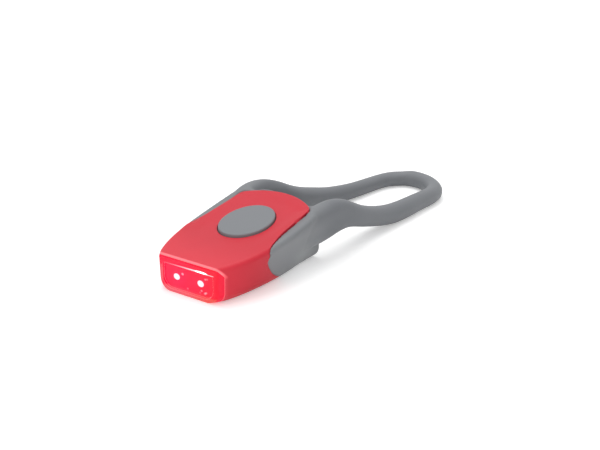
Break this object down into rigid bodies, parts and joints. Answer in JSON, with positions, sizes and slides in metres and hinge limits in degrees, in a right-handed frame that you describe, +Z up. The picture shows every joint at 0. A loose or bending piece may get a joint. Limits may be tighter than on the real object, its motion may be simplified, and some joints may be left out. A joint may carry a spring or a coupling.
{
  "type": "bicycle safety light",
  "caption": "Small rear light for a bicycle with a push button and a moulded silicone strap whose loop stretches round a bar or seat post.",
  "frame": {"origin": "the point of the flat underside straight below the middle of the push button", "axes": "+Y runs from the lens back to the end of the strap's loop, +Z up from the underside through the button, +X across"},
  "size_m": [0.0362, 0.1308, 0.0196],
  "materials": {
    "coral_plastic": "satin translucent coral-red",
    "lens_plastic": "polished clear red",
    "silicone_grey": "satin moulded silicone",
    "button_grey": "matt silicone",
    "membrane": "milky silicone film",
    "seal_black": "matt",
    "cover_plastic": "satin",
    "bright_plating": "metallised plastic",
    "led_red": "clear resin, lit",
    "steel": "plated",
    "spring_metal": "nickel-plated phosphor bronze",
    "board_green": "solder mask",
    "black_plastic": "matt",
    "white_plastic": "matt",
    "can_aluminium": "satin"
  },
  "bodies": {
    "lamp": {"top_shell": "coral_plastic", "front_lens": "lens_plastic", "reflector": "bright_plating", "led_left": "led_red", "led_right": "led_red", "button_diaphragm": "membrane", "bottom_cover": "cover_plastic", "case_seal": "seal_black", "case_screws": "steel", "circuit_board": "board_green", "board_screws": "steel", "flasher_chip": "black_plastic", "led_resistors": "black_plastic", "filter_capacitor": "can_aluminium", "switch_base": "black_plastic", "switch_dome": "spring_metal", "switch_cover": "steel", "battery_cell_lower": "steel", "battery_cell_upper": "steel", "battery_holder": "black_plastic", "contact_positive": "spring_metal", "contact_negative": "spring_metal", "insulator_sheet": "membrane", "silicone_strap": "silicone_grey"},
    "button": {"button_cap": "button_grey"},
    "plunger": {"switch_plunger": "white_plastic"}
  },
  "joints": [
    {"name": "button_press", "type": "slide", "parent": "lamp", "child": "button", "axis": [0, 0, -1], "range_m": [0, 0.0003], "stiffness_N_per_m": 4000, "deforming": ["button_diaphragm"]},
    {"name": "plunger_press", "type": "slide", "parent": "lamp", "child": "plunger", "axis": [0, 0, -1], "range_m": [0, 0.0003], "stiffness_N_per_m": 0.2, "deforming": ["switch_dome"]}
  ],
  "couplings": [
    {"joint": "plunger_press", "follows": "button_press", "ratio": 1}
  ]
}
